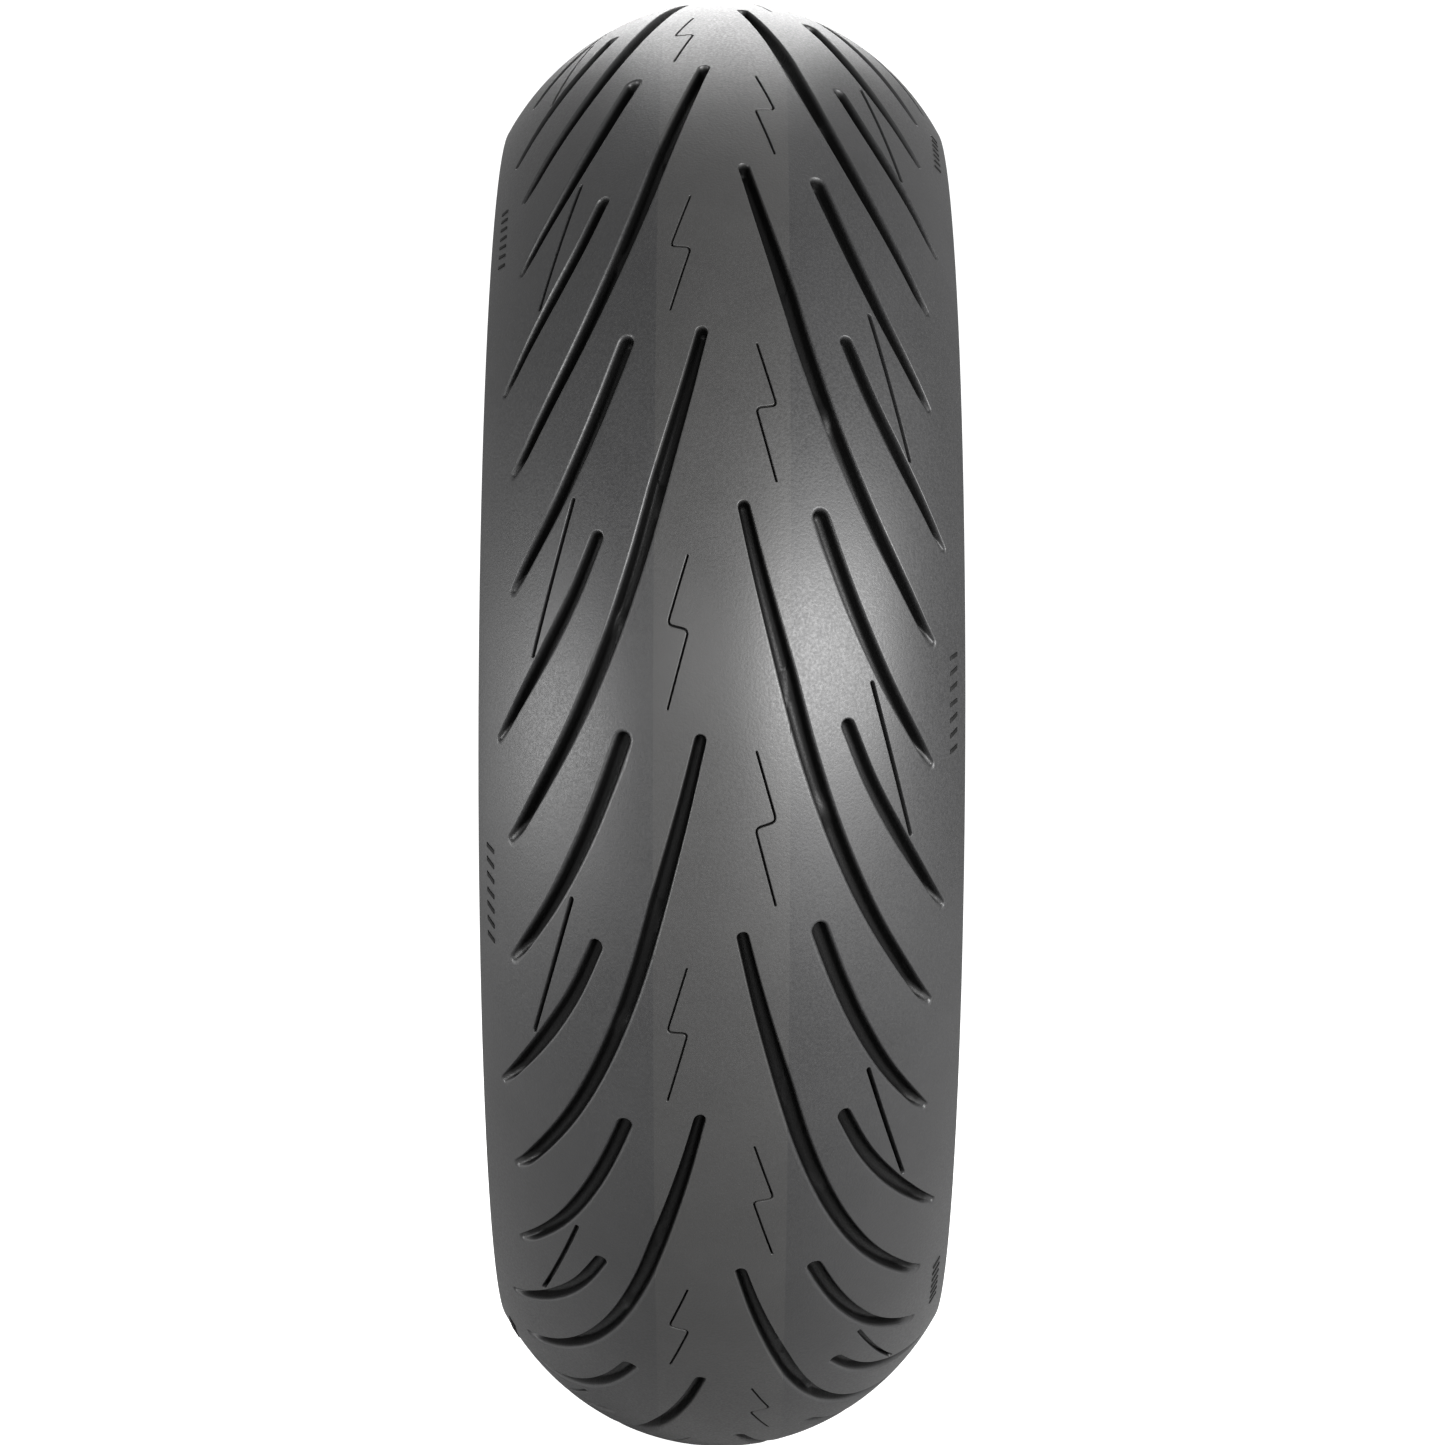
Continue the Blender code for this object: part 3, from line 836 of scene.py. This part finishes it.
def build_rings(finishes):
    casing = both_ways(casing_line())
    inner_rubber, moulded = finishes["inner"], finishes["sidewall"]
    liner_depth = 2 * (PLY + GAP)
    turned("inner_liner_moulded", ribbon(casing, liner_depth, liner_depth + LINER), LINER_STEPS,
           finishes["liner"], "inner_liner", relief=liner_relief)
    turned("carcass_ply_outer_cords", ribbon(casing, 0.0, PLY), RING_STEPS, finishes["ply"],
           "carcass_ply_outer")
    down = offset_line(casing, PLY + GAP)[len(casing) // 2:]
    turn_up = down + [(66.0, 221.4), (73.5, 221.4), (73.5, 230.0), (79.0, 243.0)]
    turned("carcass_ply_inner_cords", ribbon(both_ways(turn_up), 0.0, PLY), RING_STEPS, finishes["ply"],
           "carcass_ply_inner")
    for node, angle, depths, finish in (
        ("tread_base", EDGE_ANGLE, BASE_DEPTHS, inner_rubber),
        ("steel_belt", BELT_ANGLE, BELT_DEPTHS, finishes["belt"]),
    ):
        outline = crown_row(-angle, angle, depths[0], 3.0) + crown_row(angle, -angle, depths[1], 3.0)
        turned(node + "_layer", outline, RING_STEPS, finish, node)
    strip_start = BELT_ANGLE + 0.7
    strip = crown_row(strip_start, EDGE_ANGLE, BELT_DEPTHS[0], 3.0) + [(82.2, 255.0)]
    strip += crown_row(CASING_ANGLE, strip_start, BELT_DEPTHS[1], 3.0)
    face = dense_line(smooth_line(SIDEWALL_FACE, 5), 0.5)
    rim_face = dense_line(smooth_line(RIM_STRIP_FACE[:3], 5), 0.8) + dense_line(RIM_STRIP_FACE[2:], 0.35)[1:]
    for side, hand in SIDES.items():
        turn_over = list if side > 0 else mirrored
        relief_side = (lambda relief: relief) if side > 0 else flipped
        turned("belt_edge_strip_%s_layer" % hand, turn_over(strip), RING_STEPS, inner_rubber,
               "belt_edge_strip_" + hand)
        turned("bead_filler_%s_apex" % hand, turn_over(list(FILLER)), RING_STEPS, inner_rubber,
               "bead_filler_" + hand)
        turned("sidewall_%s_moulded" % hand, turn_over(face + list(SIDEWALL_BACK)), SIDEWALL_STEPS, moulded,
               "sidewall_" + hand, relief=relief_side(sidewall_relief))
        turned("rim_strip_%s_moulded" % hand, turn_over(rim_face + list(RIM_STRIP_BACK)), 2 * RING_STEPS,
               finishes["bead"], "rim_strip_" + hand, relief=relief_side(fine_ribs))
        turned("toe_chafer_%s_cloth" % hand, turn_over(list(CHAFER_FACE + CHAFER_BACK)), 2 * RING_STEPS,
               finishes["chafer"], "toe_chafer_" + hand)
        bead_core(side, hand, finishes["wire"])


def flipped(relief):
    """The same relief for a mirrored outline."""
    return lambda outline, angles: relief(outline * (-1, 1), angles)


def bead_core(side, hand, material):
    """A bead core as its bundle of wires, in one mesh."""
    places, faces = [], []
    turns = np.arange(WIRE_CORNERS) * math.tau / WIRE_CORNERS
    angles = np.arange(RING_STEPS) * math.tau / RING_STEPS
    for row, count in enumerate(CORE_ROWS):
        for column in range(count):
            across = CORE_MIDDLE[0] + (column - (count - 1) / 2) * WIRE_PITCH
            radius = CORE_MIDDLE[1] + (row - 2) * WIRE_PITCH * math.sqrt(0.75)
            ring_across = side * (across + WIRE_RADIUS * np.cos(turns))[:, None]
            ring_radius = (radius + WIRE_RADIUS * np.sin(turns))[:, None]
            start = sum(len(part) for part in places)
            rings = ring_across + 0 * angles, ring_radius + 0 * angles
            places.append(around(*rings, angles[None]).reshape(-1, 3))
            for turn in range(WIRE_CORNERS):
                low, high = start + turn * RING_STEPS, start + (turn + 1) % WIRE_CORNERS * RING_STEPS
                for step in range(RING_STEPS):
                    after = (step + 1) % RING_STEPS
                    faces.append((low + step, low + after, high + after, high + step))
    mesh = closed_mesh("bead_core_" + hand, np.concatenate(places), faces)
    finished("bead_core_%s_wires" % hand, mesh, material, "bead_core_" + hand)


# ---------------------------------------------------------------- small raised marks

# Groups of bars on each tread edge: the first group's degrees above +X, and the degrees between bars
MARK_STARTS = {1: 1.8, -1: -13.9}
MARK_GROUPS = 6
MARK_SPACING = 1.25
MARK_RADIUS = 263.0
MARK_HEIGHT = 0.35


def raised_mark(outline, surface, height):
    """Places and faces of a low raised mark; surface turns (u, v, height) rows into places."""
    flat = np.array(outline, float)
    middle = flat.mean(0)
    rings = []
    for inset, rise in ((1.06, -0.25), (1.0, 0.6 * height), (0.88, height)):
        rows = middle + (flat - middle) * inset
        rings.append(surface(np.column_stack((rows, np.full(len(flat), rise)))))
    size = len(flat)
    faces = []
    for low in (0, size):
        for index in range(size):
            after = (index + 1) % size
            faces.append((low + index, low + after, low + size + after, low + size + index))
    faces.append(tuple(range(2 * size, 3 * size)))
    faces.append(tuple(range(size))[::-1])
    return np.concatenate(rings), faces


def build_marks(material):
    """Groups of seven slanted bars on the tread's edges."""
    for side, hand in SIDES.items():
        places, faces = [], []
        for group in range(MARK_GROUPS):
            for bar in range(-3, 4):
                turn = MARK_STARTS[side] + group * 360 / MARK_GROUPS + bar * MARK_SPACING
                centre = math.radians(turn)

                def on_crown(rows, centre=centre):
                    across, radius, _ = crown(rows[:, 0], -rows[:, 2])
                    return around(side * across, radius, centre + rows[:, 1] / MARK_RADIUS)

                lean = (bar * bar) % 3 * 0.5
                shape = ((102.9, -1.9), (107.8, 0.3 + lean), (107.8, 1.9 + lean), (102.9, -0.3))
                add_mark(places, faces, *raised_mark(shape, on_crown, MARK_HEIGHT))
        mesh = closed_mesh("edge_bars_" + hand, np.concatenate(places), faces)
        mesh.set_sharp_from_angle(angle=math.radians(40))
        finished("edge_bars_" + hand, mesh, material)


def add_mark(places, faces, mark_places, mark_faces):
    start = sum(len(part) for part in places)
    places.append(mark_places)
    faces += [tuple(start + corner for corner in face) for face in mark_faces]


# ---------------------------------------------------------------- stage

BACKDROP = 1.5
STUDIO = 0.40
FLOOR_GLOW = 1.1
FLOOR_REACH = 6.0
LIGHT_DISTANCE = 2.3

# Azimuth and elevation in degrees, width and height in metres, and power in watts
LIGHTS = {
    "key": (30, 8, 0.9, 0.75, 67),
    "key_side": (55, 9, 0.9, 0.75, 50),
    "left": (-64, 0, 1.7, 0.62, 43),
    "front": (-12, 10, 0.9, 0.6, 8),
    "far_left": (-100, 0, 1.2, 0.62, 6),
    "back": (180, 46, 1.1, 1.7, 32),
}

# Camera: distance in outer radii, sensor and lens in millimetres
CAMERA_RADII = 5.70
SENSOR = 36.0
LENS = 100.95
SHIFT = (0.0004, 0.0011)
ROLL = math.radians(0.16)


def area_light(name, azimuth, elevation, width, height, power):
    """A soft box that looks at the tire's middle. Azimuth 0 is in front of the tread, and +Y is at 90."""
    light = bpy.data.lights.new(name, "AREA")
    light.shape = "RECTANGLE"
    light.size, light.size_y, light.energy = width, height, power
    spot = bpy.data.objects.new(name, light)
    turn, rise = math.radians(azimuth), math.radians(elevation)
    away, above = LIGHT_DISTANCE * math.cos(rise), LIGHT_DISTANCE * math.sin(rise)
    spot.location = away * math.cos(turn), away * math.sin(turn), above
    spot.rotation_euler = (-spot.location).to_track_quat("-Z", "Y").to_euler()
    bpy.context.scene.collection.objects.link(spot)


def build_stage():
    """A plain pale floor, which the camera sees as white as the backdrop, and soft studio light."""
    mesh = bpy.data.meshes.new("floor")
    low = -(OUTER_RADIUS + 0.3) * MM
    corners = [(x * FLOOR_REACH, y * FLOOR_REACH, low) for x, y in ((-1, -1), (1, -1), (1, 1), (-1, 1))]
    mesh.from_pydata(corners, [], [(0, 1, 2, 3)])
    floor = bpy.data.objects.new("floor", mesh)
    bpy.context.scene.collection.objects.link(floor)
    finish = Finish("floor_paint", specular=0.2)
    shade = finish.spread(finish.noise(0.5), 0.3, 0.7, 0.0, 1.0)
    seen = finish.node("ShaderNodeLightPath", {}).outputs["Is Camera Ray"]
    finish.shader.inputs["Emission Color"].default_value = (1, 1, 1, 1)
    glow = finish.maths("MULTIPLY", seen, FLOOR_GLOW)
    finish.tree.links.new(glow, finish.shader.inputs["Emission Strength"])
    mesh.materials.append(finish.done(finish.blend(shade, (0.50, 0.50, 0.50), (0.52, 0.52, 0.52)), 0.7))
    world = bpy.data.worlds.new("studio")
    bpy.context.scene.world = world
    world.use_nodes = True
    tree = world.node_tree
    tree.nodes["Background"].inputs["Color"].default_value = (1, 1, 1, 1)
    tree.nodes["Background"].inputs["Strength"].default_value = STUDIO
    backdrop = tree.nodes.new("ShaderNodeBackground")
    backdrop.inputs["Strength"].default_value = BACKDROP
    mix = tree.nodes.new("ShaderNodeMixShader")
    tree.links.new(tree.nodes.new("ShaderNodeLightPath").outputs["Is Camera Ray"], mix.inputs[0])
    tree.links.new(tree.nodes["Background"].outputs[0], mix.inputs[1])
    tree.links.new(backdrop.outputs[0], mix.inputs[2])
    tree.links.new(mix.outputs[0], tree.nodes["World Output"].inputs["Surface"])
    for name, values in LIGHTS.items():
        area_light(name, *values)
    bpy.context.scene.view_settings.view_transform = "Standard"
    bpy.context.scene.view_settings.look = "None"


def build_camera():
    """Level with the axle, square on to the front of the tread."""
    data = bpy.data.cameras.new("camera")
    data.sensor_width, data.lens = SENSOR, LENS
    data.shift_x, data.shift_y = SHIFT
    data.clip_start, data.clip_end = 0.05, 50
    camera = bpy.data.objects.new("camera", data)
    camera.location = (CAMERA_RADII * OUTER_RADIUS * MM, 0, 0)
    camera.rotation_euler = (math.pi / 2, 0, math.pi / 2)
    camera.rotation_euler.rotate_axis("Z", ROLL)
    bpy.context.scene.collection.objects.link(camera)
    bpy.context.scene.camera = camera


def main():
    finishes = {
        "sidewall": moulded_rubber(
            "sidewall_rubber_finish", (0.024, 0.024, 0.025), (0.036, 0.036, 0.037)),
        "bead": moulded_rubber(
            "bead_rubber_finish", (0.018, 0.018, 0.018), (0.028, 0.028, 0.028)),
        "liner": moulded_rubber(
            "liner_rubber_finish", (0.018, 0.018, 0.018), (0.030, 0.029, 0.028), low=0.3, high=0.45),
        "inner": moulded_rubber(
            "inner_rubber_finish", (0.016, 0.016, 0.016), (0.024, 0.024, 0.024), low=0.6, high=0.75),
        "chafer": woven_rubber("chafer_cloth_finish"),
        "ply": corded(
            "ply_cord_finish", (0.03, 0.027, 0.024), (0.42, 0.31, 0.18), cord_count=1500),
        "belt": corded(
            "belt_cord_finish", (0.03, 0.028, 0.025), (0.55, 0.45, 0.28), cord_pitch=0.0018, metallic=0.4),
        "wire": wire("bead_wire_finish"),
        # The edge bars' near-black colour, with low specular, is painted shade standing in for the shadows
        # round the raised bars.
        "mark": moulded_rubber(
            "edge_mark_painted_shade_finish", (0.004, 0.004, 0.004), (0.008, 0.008, 0.008),
            low=0.5, high=0.6, specular=0.12),
    }
    centre = tread_rubber("tread_centre_finish", (0.027, 0.0266, 0.0262), (0.021, 0.0207, 0.0204))
    shoulder = tread_rubber("tread_shoulder_finish", (0.019, 0.019, 0.0195), (0.014, 0.014, 0.0144))
    build_tread(centre, shoulder)
    build_rings(finishes)
    build_marks(finishes["mark"])
    build_stage()
    build_camera()


main()
